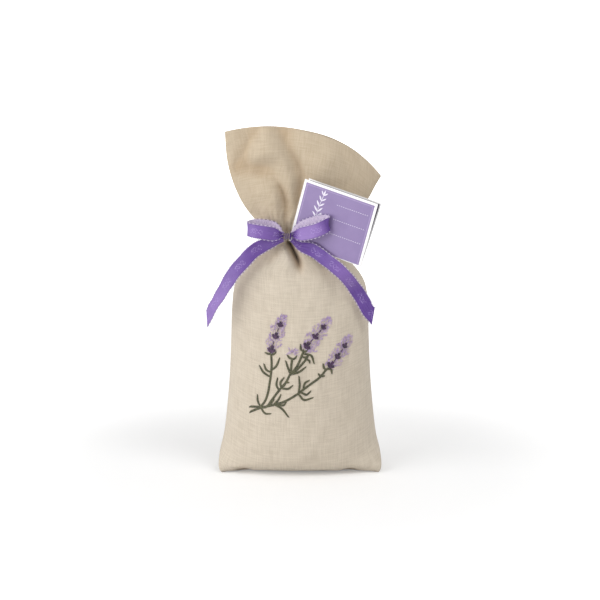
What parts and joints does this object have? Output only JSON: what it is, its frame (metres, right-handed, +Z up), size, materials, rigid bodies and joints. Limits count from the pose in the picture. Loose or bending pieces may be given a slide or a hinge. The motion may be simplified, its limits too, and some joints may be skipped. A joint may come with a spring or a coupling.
{
  "type": "lavender sachet",
  "caption": "Stuffed linen pouch, gathered and tied at the neck under a flared mouth, with a satin bow, a folded card tag on the tie and an embroidered sprig posy.",
  "frame": {"origin": "middle of the base, on the pouch's flat underside where it stands on a table", "axes": "+Z up through the neck, -Y the front with the posy and the bow, +X to the right of someone facing the front"},
  "size_m": [0.0852, 0.0439, 0.1683],
  "materials": {
    "linen": "natural undyed linen, plain weave, matte",
    "dried_lavender": "loose dried buds, matte",
    "satin_ribbon": "woven satin with looped edges, soft gloss",
    "tie_thread": "fine twisted thread",
    "printed_card": "smooth printed card, white border",
    "green_floss": "stranded embroidery floss, slight sheen",
    "lilac_floss": "stranded embroidery floss, slight sheen",
    "plum_floss": "stranded embroidery floss, slight sheen"
  },
  "bodies": {
    "sachet": {"pouch_front_panel": "linen", "pouch_back_panel": "linen", "lavender_filling": "dried_lavender", "bow_pinch": "satin_ribbon", "bow_loop_left": "satin_ribbon", "bow_loop_right": "satin_ribbon", "bow_tail_left": "satin_ribbon", "bow_tail_right": "satin_ribbon", "bow_binding": "tie_thread", "neck_tie": "tie_thread", "posy_stems": "green_floss", "blossom_left": "lilac_floss", "blossom_middle": "lilac_floss", "blossom_right": "lilac_floss", "buds_left": "plum_floss", "buds_middle": "plum_floss", "buds_right": "plum_floss"},
    "tag_front": {"tag_front_leaf": "printed_card"},
    "tag_back": {"tag_back_leaf": "printed_card"}
  },
  "joints": [
    {"name": "tag_swing", "type": "hinge", "parent": "sachet", "child": "tag_front", "pos_m": [-0.0011, -0.0093, 0.1175], "axis": [-0.3759, -0.9258, -0.0401], "range_deg": [-4, 8]},
    {"name": "tag_fold", "type": "hinge", "parent": "tag_front", "child": "tag_back", "pos_m": [-0.00193, -0.00882, 0.11424], "axis": [0.8935, -0.3507, -0.2804], "range_deg": [0, 6.5]}
  ]
}
